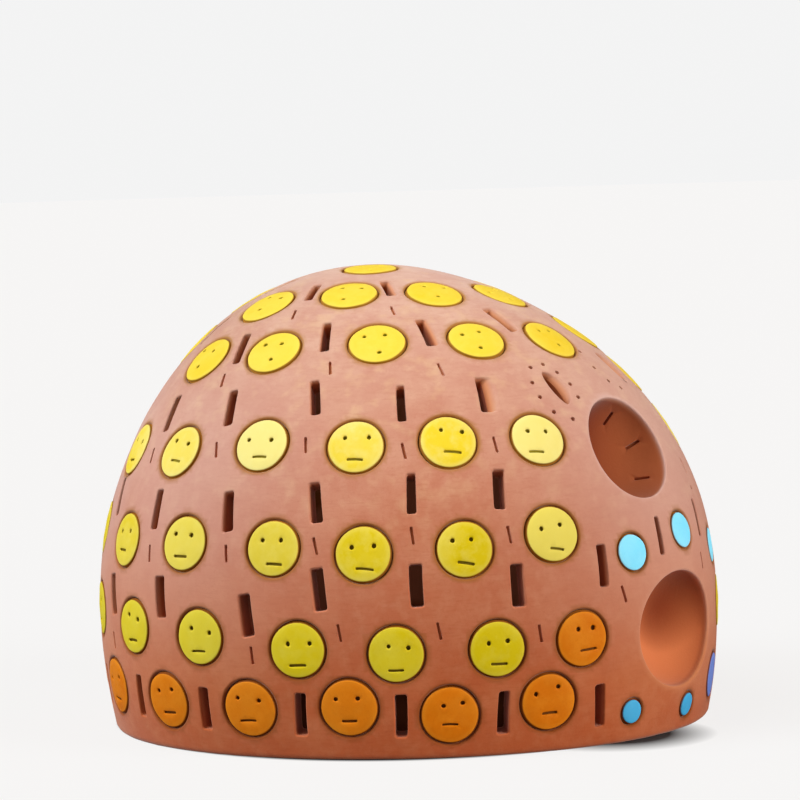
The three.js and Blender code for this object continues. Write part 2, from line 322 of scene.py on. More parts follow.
def section_share(height):
    if height < shoulder:
        return 1 - (1 - foot_share) * ((shoulder - height) / shoulder) ** 2
    rise = min((height - shoulder) / (crown - shoulder), 1)
    return (1 - rise ** crown_fullness) ** (1 / side_fullness)


def surface_point(turn, height):
    angle = math.radians(turn)
    radius = outer_radius * section_share(height)
    towards_face = math.cos(angle)
    narrowing = 1 - egg_share * towards_face * (1 - towards_face ** 2)
    back = crown_set_back * (max(height, 0) / crown) ** set_back_power
    x = -math.sin(angle) * radius * narrowing
    y = -math.cos(angle) * radius * narrowing + back + axis_y
    return Vector((x, y, height))


def outside_by(points, inset=0.0):
    """How far points stand outside the dome, or outside one smaller by inset all round."""
    x, y, z = points.T
    radius = outer_radius - inset
    top = crown - inset
    y = y - axis_y - crown_set_back * (np.maximum(z, 0) / crown) ** set_back_power
    around = np.maximum(np.hypot(x, y), 1e-9)
    towards_face = -y / around
    around = around / (1 - egg_share * towards_face * (1 - towards_face ** 2))
    below = around - radius * (1 - (1 - foot_share) * ((shoulder - z) / shoulder) ** 2)
    rise = np.maximum(z - shoulder, 0) / (top - shoulder)
    share = around / radius
    value = share ** side_fullness + rise ** crown_fullness - 1
    slope_out = side_fullness * share ** (side_fullness - 1) / radius
    slope_up = crown_fullness * rise ** (crown_fullness - 1) / (top - shoulder)
    above = value / np.maximum(np.hypot(slope_out, slope_up), 1e-3)
    return np.where(z < shoulder, below, above)


def dome_normals(points, inset=0.0):
    step = 0.05 * MM
    slopes = []
    for axis in np.eye(3) * step:
        slopes.append(outside_by(points + axis, inset) - outside_by(points - axis, inset))
    normals = np.stack(slopes, axis=1)
    return normals / np.linalg.norm(normals, axis=1, keepdims=True)


def onto_dome(points, inset=0.0, rounds=6):
    for _ in range(rounds):
        points = points - dome_normals(points, inset) * outside_by(points, inset)[:, None]
    return points


def swell_heights(points, layers):
    heights = np.zeros(len(points))
    for layer, (size, height) in enumerate(layers):
        shift = Vector((layer * 7.3, 1.7, -3.1))
        heights += height * np.array([noise.noise(Vector(p) / size + shift) for p in points])
    return heights


def frame_at(turn, height, lean=0.0):
    """A frame on the dome: X to the onlooker's right, Y up the wall, Z straight out of it."""
    point = surface_point(turn, height)
    across = surface_point(turn - 0.2, height) - surface_point(turn + 0.2, height)
    up = surface_point(turn, height + 0.05 * MM) - surface_point(turn, height - 0.05 * MM)
    out = across.cross(up).normalized()
    up = (up - out * up.dot(out)).normalized()
    right = up.cross(out)
    axes = Matrix((right, up, out)).transposed().to_4x4()
    return Matrix.Translation(point) @ axes @ Matrix.Rotation(math.radians(lean), 4, "Z")


# Small helpers for modelling

def only(piece):
    bpy.ops.object.select_all(action="DESELECT")
    piece.select_set(True)
    bpy.context.view_layer.objects.active = piece


def points_of(piece):
    flat = np.zeros(len(piece.data.vertices) * 3)
    piece.data.vertices.foreach_get("co", flat)
    return flat.reshape(-1, 3)


def set_points(piece, points):
    piece.data.vertices.foreach_set("co", np.ascontiguousarray(points).ravel())
    piece.data.update()


def copy_of(piece, name):
    twin = piece.copy()
    twin.data = piece.data.copy()
    twin.name = name
    bpy.context.scene.collection.objects.link(twin)
    return twin


def joined(pieces, name):
    bpy.ops.object.select_all(action="DESELECT")
    for piece in pieces:
        piece.select_set(True)
    bpy.context.view_layer.objects.active = pieces[0]
    bpy.ops.object.join()
    pieces[0].name = name
    return pieces[0]


def in_frame(points, placement):
    """Points given across, along and out of a placement, moved to where it lies."""
    matrix = np.array(placement)
    return points @ matrix[:3, :3].T + matrix[:3, 3]


def turn_outwards(piece):
    """Makes every face of a closed piece look outwards."""
    only(piece)
    bpy.ops.object.mode_set(mode="EDIT")
    bpy.ops.mesh.select_all(action="SELECT")
    bpy.ops.mesh.normals_make_consistent(inside=False)
    bpy.ops.object.mode_set(mode="OBJECT")


def write_mark(piece, name, values):
    """Keeps a number at every point of a piece, for its material to read."""
    mark = piece.data.attributes.new(name, "FLOAT", "POINT")
    mark.data.foreach_set("value", values.astype(np.float32))


def cut(piece, cutter):
    only(piece)
    step = piece.modifiers.new("cut", "BOOLEAN")
    step.operation = "DIFFERENCE"
    step.solver = "MANIFOLD"
    step.object = cutter
    bpy.ops.object.modifier_apply(modifier=step.name)
    bpy.data.objects.remove(cutter)


def lay_on_dome(piece, turn, height, lean=0.0):
    """Wraps a flat piece onto the dome: its XY plane becomes the surface, its Z stands out of it."""
    flat = points_of(piece)
    feet = in_frame(flat * (1, 1, 0), frame_at(turn, height, lean))
    base = onto_dome(feet, rounds=4)
    rise = flat[:, 2] + swell_heights(base, swells)
    set_points(piece, base + dome_normals(base) * rise[:, None])


# Cutters, modelled flat with the surface at Z = 0

def extrude_stops(half, start, stops):
    """Extrudes the selected face from one height to the next, its outline moved out by each offset."""
    at_half = list(half)
    at_height = start
    for offset, height in stops:
        bpy.ops.mesh.extrude_region_move(TRANSFORM_OT_translate={"value": (0, 0, height - at_height)})
        new_half = [size + offset for size in half]
        factors = (new_half[0] / at_half[0], new_half[1] / at_half[1], 1)
        bpy.ops.transform.resize(value=factors, center_override=(0, 0, height))
        at_half = new_half
        at_height = height


def lip_stops(lip):
    """The mouth of a cut: straight up, then opened by a rounded lip and on out of the clay."""
    stops = [(0, -lip)]
    for degrees in (25, 48, 68):
        angle = math.radians(degrees)
        stops.append((lip * (1 - math.cos(angle)), -lip * (1 - math.sin(angle))))
    offset, height = stops[-1]
    slope = math.tan(math.radians(68))
    stops.append((offset + (cutter_rise - height) * slope, cutter_rise))
    return stops


def finished_cutter(name, outline, depth, lip):
    """A closed cutter with this outline, a flat floor at depth and a rounded lip at the surface."""
    bpy.ops.object.select_all(action="DESELECT")
    bpy.ops.mesh.primitive_circle_add(
        vertices=len(outline), radius=1, fill_type="NGON", location=(0, 0, -depth))
    cutter = bpy.context.object
    cutter.name = name
    bpy.ops.object.transform_apply(location=True, rotation=True, scale=True)
    points = points_of(cutter)
    points[:, :2] = outline
    set_points(cutter, points)
    half = np.abs(points[:, :2]).max(axis=0)
    bpy.ops.object.mode_set(mode="EDIT")
    bpy.ops.mesh.select_all(action="SELECT")
    wall_stop = [(0, -flare_depth)] if depth > flare_depth else []
    extrude_stops(half, -depth, wall_stop + lip_stops(lip))
    bpy.ops.object.mode_set(mode="OBJECT")
    turn_outwards(cutter)
    return cutter


def round_outline(radius, sides=40):
    angles = np.arange(sides) / sides * 2 * math.pi
    return np.stack((radius * np.cos(angles), radius * np.sin(angles)), axis=1)


def slot_outline(width, length, corner, along=6, turning=3):
    """A rounded rectangle: a quarter turn at each corner, and a few points along the two long sides."""
    points = []
    centres = [(1, 1), (-1, 1), (-1, -1), (1, -1)]
    for quarter, (side_x, side_y) in enumerate(centres):
        middle = np.array((side_x * (width / 2 - corner), side_y * (length / 2 - corner)))
        for step in range(turning + 1):
            angle = math.radians(90 * (quarter + step / turning))
            points.append(middle + corner * np.array((math.cos(angle), math.sin(angle))))
        if quarter in (1, 3):
            straight = side_y * (length / 2 - corner)
            for step in range(1, along + 1):
                y = straight * (1 - 2 * step / (along + 1))
                points.append(np.array((side_x * width / 2, y)))
    return np.array(points)


def leaf_outline(width, length, sides=28):
    """An ellipse drawn to a soft point at both ends."""
    angles = np.arange(sides) / sides * 2 * math.pi
    across = np.sin(angles)
    x = np.sign(across) * np.abs(across) ** leaf_point
    return np.stack((x * width / 2, np.cos(angles) * length / 2), axis=1)


# The bowls

def bowl_frame(bowl):
    """X and Y across the bowl's mouth, Z out of it."""
    place = Vector(bowl["place"]) * MM + Vector((0, axis_y, 0))
    face_out = Matrix.Rotation(math.radians(90 - bowl["look_up"]), 4, "X")
    return Matrix.Translation(place) @ face_out @ Matrix.Rotation(math.radians(bowl["roll"]), 4, "Z")


def bowl_sizes(bowl, extra=0.0):
    across, high = bowl["half"]
    return np.array((across * MM + extra, high * MM + extra, bowl["depth"] * MM + extra))


def bowl_bulge(bowl, name):
    """The clay pushed in behind a bowl, as a plain ellipsoid."""
    bpy.ops.object.select_all(action="DESELECT")
    bpy.ops.mesh.primitive_uv_sphere_add(segments=48, ring_count=24, radius=1)
    bulge = bpy.context.object
    bulge.name = name
    set_points(bulge, in_frame(points_of(bulge) * bowl_sizes(bowl, bowl_wall), bowl_frame(bowl)))
    return bulge


def bowl_cutter(bowl, name, segments=96, rings=40):
    """A sphere shaped into the bowl: its floor an ellipsoid, its rim rounded over onto the dome, and a cap
    above the clay."""
    floor_rings = rings * 0.7
    lip_rings = rings * 0.15
    cap_flare = 0.34
    flare_out = 1.5 * MM
    flare_up = 0.9 * MM
    cap_height = 14 * MM
    cap_hump = 3 * MM
    bpy.ops.object.select_all(action="DESELECT")
    bpy.ops.mesh.primitive_uv_sphere_add(segments=segments, ring_count=rings, radius=1)
    cutter = bpy.context.object
    cutter.name = name
    unit = points_of(cutter)
    sizes = bowl_sizes(bowl)
    matrix = np.array(bowl_frame(bowl))
    out = matrix[:3, 2]
    middle_point = matrix[:3, 3]

    def in_place(angles, tilts):
        across = np.sin(tilts)
        ball = np.stack((across * np.cos(angles), across * np.sin(angles), -np.cos(tilts)), axis=1)
        return in_frame(ball * sizes, bowl_frame(bowl))

    def tilt_at_depth(angles, depth):
        """How far up the ellipsoid, from its deepest point, the clay above is this thin."""
        low = np.zeros(len(angles))
        high = np.full(len(angles), 0.75 * math.pi)
        for _ in range(30):
            middle = (low + high) / 2
            inside = outside_by(in_place(angles, middle)) < -depth
            low = np.where(inside, middle, low)
            high = np.where(inside, high, middle)
        return low

    angles = np.arctan2(unit[:, 1], unit[:, 0])
    ring = np.rint(np.arccos(np.clip(-unit[:, 2], -1, 1)) / math.pi * rings)
    floor_tilt = tilt_at_depth(angles, bowl_lip)
    rim = in_place(angles, tilt_at_depth(angles, 0))
    floor_end = in_place(angles, floor_tilt)
    away = rim - (middle_point + np.outer((rim - middle_point) @ out, out))
    away /= np.linalg.norm(away, axis=1, keepdims=True)
    lip_end = onto_dome(rim + away * bowl_lip)
    normals = dome_normals(lip_end)
    lip_end = lip_end + normals * (swell_heights(lip_end, swells) + 0.05 * MM)[:, None]

    floor = in_place(angles, floor_tilt * np.minimum(ring / floor_rings, 1))
    share = np.clip((ring - floor_rings) / lip_rings, 0, 1)[:, None]
    lip = floor_end * (1 - share) ** 2 + 2 * rim * share * (1 - share) + lip_end * share ** 2
    beyond = (ring - floor_rings - lip_rings) / (rings - floor_rings - lip_rings)
    lift = np.clip(beyond, 0, 1)[:, None]
    flare = lip_end + away * flare_out + normals * flare_up
    top = middle_point + out * cap_height
    flared = lip_end + (flare - lip_end) * lift / cap_flare
    humped = flare + (top - flare) * (lift - cap_flare) / (1 - cap_flare) + normals * cap_hump * (1 - lift)
    cap = np.where(lift < cap_flare, flared, humped)
    set_points(cutter, np.where((ring <= floor_rings)[:, None], floor, np.where(share < 1, lip, cap)))
    turn_outwards(cutter)
    return cutter


# The shell

def dome_ball(name, cuts, inset, layers):
    """A cube swollen into a ball round the shoulder, then settled onto the dome."""
    centre = np.array((0, axis_y, shoulder))
    radius = outer_radius - inset
    bpy.ops.object.select_all(action="DESELECT")
    bpy.ops.mesh.primitive_cube_add(size=2 * radius, location=centre)
    ball = bpy.context.object
    ball.name = name
    bpy.ops.object.transform_apply(location=True, rotation=True, scale=True)
    bpy.ops.object.mode_set(mode="EDIT")
    bpy.ops.mesh.subdivide(number_cuts=cuts)
    bpy.ops.object.mode_set(mode="OBJECT")
    even = np.tan((points_of(ball) - centre) / radius * math.pi / 4)
    even /= np.linalg.norm(even, axis=1, keepdims=True)
    set_points(ball, centre + even * radius)
    slice_below(ball, -ball_below_foot)
    points = onto_dome(points_of(ball), inset)
    rise = swell_heights(points, layers)
    set_points(ball, points + dome_normals(points, inset) * rise[:, None])
    return ball


def slice_below(piece, height, fill=False):
    only(piece)
    bpy.ops.object.mode_set(mode="EDIT")
    bpy.ops.mesh.select_all(action="SELECT")
    bpy.ops.mesh.bisect(plane_co=(0, 0, height), plane_no=(0, 0, 1), use_fill=fill, clear_inner=True)
    bpy.ops.object.mode_set(mode="OBJECT")


def outer_body():
    """The outside of the head, closed flat below with a rounded foot."""
    body = dome_ball("head", dome_grid, 0.0, swells)
    slice_below(body, foot_bevel)
    bpy.ops.object.mode_set(mode="EDIT")
    bpy.ops.mesh.select_all(action="SELECT")
    bpy.ops.mesh.region_to_loop()
    at_share = 1.0
    at_height = foot_bevel
    for degrees in (22.5, 45, 67.5, 90):
        angle = math.radians(degrees)
        share = 1 - foot_bevel * (1 - math.cos(angle)) / outer_radius
        height = foot_bevel * (1 - math.sin(angle))
        bpy.ops.mesh.extrude_region_move(TRANSFORM_OT_translate={"value": (0, 0, height - at_height)})
        factor = share / at_share
        bpy.ops.transform.resize(value=(factor, factor, 1), center_override=(0, axis_y, height))
        at_share, at_height = share, height
    bpy.ops.mesh.edge_face_add()
    bpy.ops.object.mode_set(mode="OBJECT")
    turn_outwards(body)
    return body


def inner_core():
    """The hollow as a solid, held in where the bowls push the clay inwards."""
    core = dome_ball("hollow", hollow_grid, wall, inner_swells)
    slice_below(core, -hollow_below_foot, fill=True)
    turn_outwards(core)
    for number, bowl in enumerate(bowls):
        cut(core, bowl_bulge(bowl, f"bulge_{number}"))
    return core


def row_places(row):
    """The places of a row: the seen ones, then even steps round the back with a given wobble."""
    places = list(row["seen"])
    if not row["step"]:
        return places
    turn = max(place[0] for place in places) + row["step"]
    mean_height = sum(place[1] for place in places) / len(places) - row.get("back_drop", 0)
    lean = (0,) * (len(places[0]) - 2)
    while turn <= row["last"]:
        places.append((turn, mean_height + back_wobble * math.sin(turn * wobble_rate), *lean))
        turn += row["step"]
    return places


def list_discs():
    found = []
    for row in disc_rows:
        odd_number, odd_clay = row.get("odd", (0, ""))
        for number, (turn, height) in enumerate(row_places(row), 1):
            clay = odd_clay if number == odd_number else row["clay"]
            found.append((f"{row['name']}_disc_{number:02d}", clay, row["radius"], turn, height))
    facts = ("name", "clay", "radius", "turn", "height")
    return [dict(zip(facts, disc)) for disc in found + single_discs]


def uneven(piece, rng, taper, skew):
    """Gives a flat cutter the slight taper, bow and skew of a cut made by hand."""
    points = points_of(piece)
    half = np.abs(points[:, 1]).max()
    along = points[:, 1] / half
    points[:, 0] *= 1 + rng.uniform(-taper, taper) * along
    points[:, 0] += rng.uniform(-skew, skew) * along + rng.uniform(-skew, skew) * (along ** 2 - 0.5)
    points[:, 1] += rng.uniform(-skew, skew) * points[:, 0] / np.abs(points[:, 0]).max()
    set_points(piece, points)


def flare_right(piece, slope, narrowing):
    """Narrows a flat cutter from its right, then slopes that side outwards as it nears the surface."""
    points = points_of(piece)
    half = points[points[:, 2] <= -flare_depth, 0].max()
    to_right = np.clip(points[:, 0] / half, 0, 1)
    to_end = 1 - (points[:, 1] / np.abs(points[:, 1]).max()) ** 4
    near = np.clip(1 + points[:, 2] / flare_depth, 0, 1.2)
    points[:, 0] -= narrowing * MM * np.clip((points[:, 0] + half) / (2 * half), 0, 1)
    points[:, 0] += slope * MM * to_right * to_end * near
    set_points(piece, points)


def all_cutters(discs):
    """Every cut from the outside, joined into one cutter."""
    rng = random.Random(7)
    cutters = []

    def place(blank, turn, height, lean=0.0, hand=None, off=(0, 0), flare=None):
        copy = copy_of(blank, "cutter")
        width_share = narrow_slots.get((turn, height), 1)
        set_points(copy, points_of(copy) * (width_share, 1, 1) + (off[0] * MM, off[1] * MM, 0))
        if hand:
            uneven(copy, rng, *hand)
        if flare:
            flare_right(copy, *flare)
        lay_on_dome(copy, turn, height * MM, lean)
        cutters.append(copy)

    recesses = {}
    left, right, down, up = recess_off
    for disc in discs:
        size = disc["radius"]
        if size not in recesses:
            outline = round_outline(size * MM + disc_grow + recess_gap)
            recesses[size] = finished_cutter("recess", outline, recess_depth, recess_lip)
        off = (rng.uniform(left, right), rng.uniform(down, up))
        place(recesses[size], disc["turn"], disc["height"], off=off)
    blanks = list(recesses.values())
    for row in slot_rows:
        width, length = row["size"]
        outline = slot_outline(width * MM, length * MM, slot_corner)
        slot = finished_cutter("slot", outline, slot_depth, slot_lip)
        blanks.append(slot)
        for turn, height, lean in row_places(row):
            place(slot, turn, height, lean, hand=slot_hand, flare=flares.get((turn, height)))
    line = finished_cutter("line", slot_outline(*cut_line_size, fine_corner), cut_line_depth, fine_lip)
    for turn, height, lean in cut_lines:
        place(line, turn, height, lean, hand=line_hand)
    prick = finished_cutter("prick", round_outline(prick_radius, dot_sides), prick_depth, fine_lip)
    for turn, height in eye_pricks:
        place(prick, turn, height)
    leaf_shape = leaf_outline(eye_slit["width"] * MM, eye_slit["length"] * MM)
    leaf = finished_cutter("leaf", leaf_shape, slot_depth, slit_lip)
    for turn, height in eye_slit["places"]:
        place(leaf, turn, height, eye_slit["lean"], flare=flare_of_slits)
    for blank in blanks + [line, prick, leaf]:
        bpy.data.objects.remove(blank)
    for number, bowl in enumerate(bowls):
        cutters.append(bowl_cutter(bowl, f"bowl_{number}"))
    return joined(cutters, "cutters")


def bowl_mark_cutters():
    """Short cuts that run up the floor of a bowl towards its rim."""
    outline = slot_outline(*bowl_mark_size, fine_corner)
    blank = finished_cutter("mark", outline, bowl_mark_depth, fine_lip)
    cutters = []
    for bowl in bowls:
        sizes = bowl_sizes(bowl)
        for around, tilt in bowl["marks"]:
            angle, tilt = math.radians(around), math.radians(tilt)
            flat = np.array((math.cos(angle), math.sin(angle), 0))
            point = Vector(sizes * (flat * math.sin(tilt) - (0, 0, math.cos(tilt))))
            into_air = -Vector(np.array(point) / sizes ** 2).normalized()
            uphill = Vector(sizes * (flat * math.cos(tilt) + (0, 0, math.sin(tilt))))
            uphill = (uphill - into_air * uphill.dot(into_air)).normalized()
            axes = Matrix((uphill.cross(into_air), uphill, into_air)).transposed().to_4x4()
            mark = copy_of(blank, "mark")
            set_points(mark, in_frame(points_of(mark), bowl_frame(bowl) @ Matrix.Translation(point) @ axes))
            cutters.append(mark)
    bpy.data.objects.remove(blank)
    return joined(cutters, "marks")


def bowl_marks(points, below):
    """How far in a bowl each point lies, how dark its painted shade is there, and how near it is to a bowl's
    rim, where a painted highlight goes.
    """
    in_bowl = np.zeros(len(points))
    dark = np.zeros(len(points))
    rim = np.zeros(len(points))
    for bowl in bowls:
        sizes = bowl_sizes(bowl)
        local = in_frame(points, bowl_frame(bowl).inverted()) / sizes
        off_floor = (np.linalg.norm(local, axis=1) - 1) * min(sizes) / MM
        share = np.exp(-(np.maximum(np.abs(off_floor) - floor_band, 0) / floor_fade) ** 2)
        rim = np.maximum(rim, share * np.exp(-((below - rim_depth) / rim_fade) ** 2))
        share = share * np.clip((below - tone_start) / tone_fade, 0, 1)
        roll = math.radians(bowl["roll"])
        right = local[:, 0] * math.cos(roll) - local[:, 1] * math.sin(roll)
        up = local[:, 0] * math.sin(roll) + local[:, 1] * math.cos(roll)
        painted_darkness = bowl["dark"]
        for along, (straight, bent) in ((up, bowl["painted_shade_up"]), (right, bowl["painted_shade_right"])):
            painted_darkness = painted_darkness + straight * along + bent * along ** 2
        dark = np.where(share > in_bowl, np.clip(painted_darkness, 0, 1), dark)
        in_bowl = np.maximum(in_bowl, share)
    return in_bowl, dark, rim


def ring_marks(points, discs):
    """The stain in and just round the joint of each disc."""
    ring = np.zeros(len(points))
    for disc in discs:
        centre = np.array(surface_point(disc["turn"], disc["height"] * MM))
        reach = disc["radius"] * MM + disc_grow + ring_reach
        away = np.linalg.norm(points - centre, axis=1)
        ring = np.maximum(ring, np.clip((reach - away) / ring_fade, 0, 1))
    return ring


def painted_sheen_marks(points, below):
    """A painted sheen, paler on the outside, fading to each side of its places and towards the foot and the
    crown.
    """
    turns = np.degrees(np.arctan2(-points[:, 0], axis_y - points[:, 1]))
    painted_sheen = np.zeros(len(points))
    for turn, reach, share in painted_sheen_places:
        painted_sheen = np.maximum(painted_sheen, share * np.exp(-((turns - turn) / reach) ** 2))
    fade = np.interp(points[:, 2] / MM, painted_sheen_heights, (0, 1, 1, 0)) * np.clip(painted_sheen_depth - below, 0, 1)
    return painted_sheen * fade


def mark_shell(shell, discs):
    """Keeps at every point what the terracotta needs to know of its place."""
    points = points_of(shell)
    below = np.clip(-outside_by(points) / MM, 0, deepest_mark)
    in_bowl, dark, rim = bowl_marks(points, below)
    write_mark(shell, "below", below * (1 - in_bowl))
    write_mark(shell, "bowl", in_bowl)
    write_mark(shell, "dark", dark)
    write_mark(shell, "ring", ring_marks(points, discs))
    # Painted sheen on the flanks, and a painted highlight on the rims of the bowls
    write_mark(shell, "painted_sheen", np.maximum(painted_sheen_marks(points, below), painted_rim_highlight * rim))


def make_shell(discs):
    shell = outer_body()
    cut(shell, inner_core())
    cut(shell, all_cutters(discs))
    cut(shell, bowl_mark_cutters())
    only(shell)
    bpy.ops.object.shade_smooth_by_angle(angle=math.radians(shell_crease))
    smooth = shell.modifiers.new("even_shading", "WEIGHTED_NORMAL")
    smooth.keep_sharp = True
    bpy.ops.object.modifier_apply(modifier=smooth.name)
    mark_shell(shell, discs)
    shell.name = "terracotta_head"
    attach(shell, "root")
    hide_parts("head_shell")
    shell.data.materials.clear()
    shell.data.materials.append(terracotta_material())


# The discs

def blank_disc(radius, sides=48):
    """A clay tablet lying flat: its face just proud, its edge rounded, and its skirt filling the joint."""
    edge = min(disc_edge, 0.2 * radius)
    floor = seat_gap - recess_depth
    skirt = tablet_chamfer + recess_gap - joint_gap
    foot = radius - tablet_chamfer
    bpy.ops.object.select_all(action="DESELECT")
    bpy.ops.mesh.primitive_circle_add(vertices=sides, radius=foot, fill_type="NGON", location=(0, 0, floor))
    blank = bpy.context.object
    bpy.ops.object.transform_apply(location=True, rotation=True, scale=True)
    side = tablet_chamfer
    stops = [(skirt, floor + side), (skirt, -joint_depth), (side, side - joint_depth)]
    for degrees in (30, 60, 90):
        angle = math.radians(degrees)
        stops.append((side - edge * (1 - math.cos(angle)), face_rise - edge * (1 - math.sin(angle))))
    face_edge = stops[-1][0]
    for share, rise in face_swell:
        stops.append((face_edge - (radius - edge) * (1 - share), face_rise + rise))
    bpy.ops.object.mode_set(mode="EDIT")
    bpy.ops.mesh.select_all(action="SELECT")
    extrude_stops((foot, foot), floor, stops)
    bpy.ops.mesh.poke()
    bpy.ops.object.mode_set(mode="OBJECT")
    turn_outwards(blank)
    return blank


def face_blanks():
    """Cutters for a pricked eye and a scored mouth, raised to the swell of a disc's face."""
    eye = finished_cutter("eye", round_outline(eye_radius, dot_sides), eye_depth, eye_lip)
    mouth_shape = slot_outline(*mouth_size, mouth_corner, along=4, turning=2)
    mouth = finished_cutter("mouth", mouth_shape, mouth_depth, mouth_lip)
    quarter = np.array(Matrix.Rotation(math.radians(90), 3, "Z"))
    set_points(mouth, points_of(mouth) @ quarter.T)
    for blank in (eye, mouth):
        set_points(blank, points_of(blank) + (0, 0, mark_start))
    return {"eye": eye, "mouth": mouth}


def face_for(disc, rng):
    """Where a disc's face is cut, in shares of its radius; the hidden ones vary from the usual face."""
    if disc["radius"] < plain_below:
        return None
    if disc["name"] in faces:
        return faces[disc["name"]]
    spots = []
    for spot in usual_face:
        spots.append(tuple(along + rng.uniform(-face_wander, face_wander) for along in spot))
    return *spots, rng.uniform(*usual_droop)


def cut_face(piece, disc, face, blanks, rng):
    """Pricks the eyes, then scores the mouth or, on the yellow discs, pricks a third dot."""
    radius = disc["radius"] * MM + disc_grow
    third = "eye" if disc["clay"] == "yellow_clay" else "mouth"
    *spots, droop = face
    marks = []
    for kind, (right, up) in zip(("eye", "eye", third), spots):
        mark = copy_of(blanks[kind], "mark")
        points = points_of(mark) * (rng.uniform(*mark_spread), rng.uniform(*mark_spread), 1)
        if kind == "mouth":
            points[:, 1] -= rng.uniform(*mouth_bend) * (points[:, 0] / mouth_half) ** 2
            points = points @ np.array(Matrix.Rotation(math.radians(-droop), 3, "Z")).T
        set_points(mark, points + (right * radius, up * radius, 0))
        marks.append(mark)
    cut(piece, joined(marks, "marks"))


def shape_by_hand(points, radius, shift, rng):
    """Makes a flat tablet slightly out of round, lumpy on its face and tilted in its recess."""
    around = np.arctan2(points[:, 1], points[:, 0])
    out = np.hypot(points[:, 0], points[:, 1]) / radius
    ring = [noise.noise(Vector((math.cos(angle), math.sin(angle), 0)) * 1.4 + shift) for angle in around]
    points[:, :2] *= 1 + out_of_round * (np.array(ring) * out)[:, None]
    lumps = [noise.noise(Vector(p) / lump_size + shift) for p in points]
    on_face = np.clip((points[:, 2] + 2 * MM) / MM, 0, 1)
    points[:, 2] += lump_height * np.array(lumps) * on_face
    tilt = (rng.uniform(-1, 1) * disc_tilt, rng.uniform(-1, 1) * disc_tilt)
    points[:, 2] += (points[:, 0] * tilt[0] + points[:, 1] * tilt[1]) / radius


def make_disc(disc, blanks, rng):
    radius = disc["radius"] * MM + disc_grow
    piece = copy_of(blanks["disc", disc["radius"]], disc["name"] + "_clay")
    face = face_for(disc, rng)
    if face:
        cut_face(piece, disc, face, blanks, rng)
    points = points_of(piece)
    shift = Vector((rng.uniform(-50, 50), rng.uniform(-50, 50), 0))
    write_mark(piece, "below", np.clip((face_rise + 0.05 * MM - points[:, 2]) / MM, 0, 2))
    write_mark(piece, "out", np.hypot(points[:, 0], points[:, 1]) / radius)
    shape_by_hand(points, radius, shift, rng)
    pale = pale_shares.get(disc["name"], rng.uniform(0, 0.25)) + 0.25 * noise.noise(shift)
    write_mark(piece, "tone", np.full(len(points), min(max(pale, 0), 1)))
    set_points(piece, points)
    lay_on_dome(piece, disc["turn"], disc["height"] * MM)
    only(piece)
    bpy.ops.object.shade_smooth_by_angle(angle=math.radians(disc_crease))
    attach(piece, "root")
    if disc["name"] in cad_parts:
        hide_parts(disc["name"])
    piece.data.materials.clear()
    piece.data.materials.append(disc_materials[disc["clay"]])


def make_discs(discs):
    rng = random.Random(21)
    blanks = {}
    for size in sorted({disc["radius"] for disc in discs}):
        blanks["disc", size] = blank_disc(size * MM + disc_grow)
    blanks.update(face_blanks())
    for disc in discs:
        make_disc(disc, blanks, rng)
    for blank in blanks.values():
        bpy.data.objects.remove(blank)


# Materials

# Terracotta from the foot, over the shoulder, to the crown
terracotta_tones = {
    "Base": ((0.47, 0.097, 0.027), (0.505, 0.157, 0.074), (0.60, 0.31, 0.22)),
    "Pale": ((0.55, 0.167, 0.066), (0.59, 0.24, 0.132), (0.72, 0.46, 0.32)),
    "Deep": ((0.385, 0.063, 0.014), (0.43, 0.106, 0.042), (0.54, 0.23, 0.15)),
}
# Freshly cut clay just below the surface, then painted shade deep in a cut, from the foot to the crown
cut_tones = ((0.48, 0.13, 0.045), (0.56, 0.19, 0.075), (0.72, 0.31, 0.145))
cut_shade_tones = ((0.36, 0.082, 0.025), (0.38, 0.10, 0.033), (0.42, 0.12, 0.04))
inner_wall = (0.60, 0.24, 0.13)
# Painted shade and painted light for the floors of the bowls
bowl_painted_shade = (0.18, 0.0235, 0.0035)
bowl_painted_light = (0.675, 0.194, 0.066)
ochre = (0.72, 0.44, 0.23)
dust_tint = (1.0, 0.88, 0.82)
# The stain in the joint round each disc, from the foot to the crown
ring_tones = ((0.25, 0.057, 0.006), (0.34, 0.115, 0.012), (0.43, 0.185, 0.025))
# A painted sheen lies paler on some parts of the wall, and a painted highlight on the rims of the bowls:
# turn, how far it reaches to each side, and its share; then the heights where it starts, is full, thins and
# ends, how deep it goes, its tones
painted_sheen_places = [(108, 30, 0.42), (138, 22, 0.6), (-4, 29, 0.5)]
painted_sheen_heights = (-5, 50, 120, 160)
painted_sheen_depth = 1.6
painted_sheen_tones = ((0.66, 0.24, 0.10), (0.70, 0.42, 0.34), (0.72, 0.46, 0.38))
painted_rim_highlight = 0.85
# The clay cut open, in millimetres below the outside: where each tone starts and where it is full; the deeper
# tone is painted shade
fresh_cut = (0.3, 1.6)
painted_cut_shade = (1.6, 3.1)
inside_wall = (7.5, 8.8)
dry_sheen = 0.06


def add_node(tree, kind, **settings):
    node = tree.nodes.new(kind)
    for name, value in settings.items():
        if name in node.inputs:
            node.inputs[name].default_value = value
        else:
            setattr(node, name, value)
    return node


def feed(tree, socket, value):
    """Links a socket to another's output, or sets it to a plain number or colour."""
    if isinstance(value, bpy.types.NodeSocket):
        tree.links.new(value, socket)
    else:
        socket.default_value = value if isinstance(value, float) else (*value, 1)


def mix_colour(tree, factor, low, high):
    node = add_node(tree, "ShaderNodeMix", data_type="RGBA")
    for socket, value in ((node.inputs[0], factor), (node.inputs[6], low), (node.inputs[7], high)):
        feed(tree, socket, value)
    return node.outputs[2]


def layered(tree, colour, layers):
    """A colour under layers that each cover it by a share."""
    for share, tone in layers:
        colour = mix_colour(tree, share, colour, tone)
    return colour


